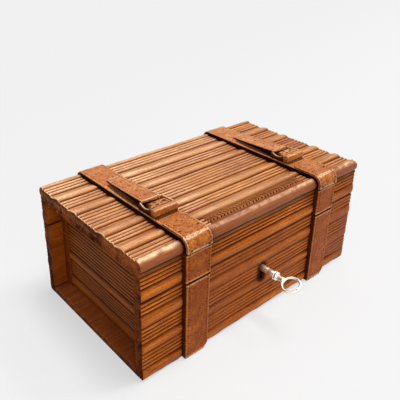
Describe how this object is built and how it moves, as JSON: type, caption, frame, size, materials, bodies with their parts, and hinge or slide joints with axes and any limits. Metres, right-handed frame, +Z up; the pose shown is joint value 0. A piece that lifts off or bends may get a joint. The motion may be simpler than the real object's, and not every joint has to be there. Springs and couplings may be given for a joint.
{
  "type": "decorative trunk box",
  "caption": "Small carved wooden box in trunk form, with reeded boards, carved straps and buckles, recessed ends, a hinged lid and a box lock with its key.",
  "frame": {"origin": "middle of the underside of the base, on the surface that the trunk stands on", "axes": "+X along the trunk to the right seen from the key side, +Y from the key side to the hinges, +Z up"},
  "size_m": [0.24, 0.1783, 0.1102],
  "materials": {
    "top_wood": "waxed",
    "wall_wood": "waxed",
    "end_wood": "waxed",
    "strap_wood": "waxed",
    "brass": "satin",
    "steel": "satin",
    "iron": "dull",
    "key_metal": "polished, worn"
  },
  "bodies": {
    "base": {"base_bottom_board": "end_wood", "base_front_board": "wall_wood", "base_back_board": "wall_wood", "base_left_panel": "end_wood", "base_right_panel": "end_wood", "base_front_strap_left": "strap_wood", "base_front_strap_right": "strap_wood", "base_back_strap_left": "strap_wood", "base_back_strap_right": "strap_wood", "lock_case": "brass", "lock_cap": "brass", "lock_screws": "brass", "hinge_base_leaf_left": "brass", "hinge_base_leaf_right": "brass", "hinge_pins": "brass", "hinge_base_screws": "brass"},
    "lid": {"lid_top_board": "top_wood", "lid_front_rail": "wall_wood", "lid_back_rail": "wall_wood", "lid_left_rail": "end_wood", "lid_right_rail": "end_wood", "lid_strap_left": "strap_wood", "lid_strap_right": "strap_wood", "lid_front_drop_left": "strap_wood", "lid_front_drop_right": "strap_wood", "lid_back_drop_left": "strap_wood", "lid_back_drop_right": "strap_wood", "strap_tab_left": "strap_wood", "strap_tab_right": "strap_wood", "strap_tongue_left": "strap_wood", "strap_tongue_right": "strap_wood", "buckle_left": "strap_wood", "buckle_right": "strap_wood", "tab_pins": "iron", "link_plate": "brass", "link_plate_screws": "brass", "hinge_lid_leaf_left": "brass", "hinge_lid_leaf_right": "brass", "hinge_lid_screws": "brass"},
    "key": {"key": "key_metal"},
    "bolt": {"lock_bolt": "steel"}
  },
  "joints": [
    {"name": "lid_hinge", "type": "hinge", "parent": "base", "child": "lid", "pos_m": [0, 0.07, 0.068], "axis": [-1, 0, 0], "range_deg": [0, 105]},
    {"name": "key_turn", "type": "hinge", "parent": "base", "child": "key", "pos_m": [0, -0.0615, 0.042], "axis": [0, 1, 0], "range_deg": [-70, 290]},
    {"name": "bolt_slide", "type": "slide", "parent": "base", "child": "bolt", "axis": [1, 0, 0], "range_m": [-0.00097, 0.00403]}
  ],
  "couplings": [
    {"joint": "bolt_slide", "follows": "key_turn", "m_per_rad": 0.00079577}
  ]
}
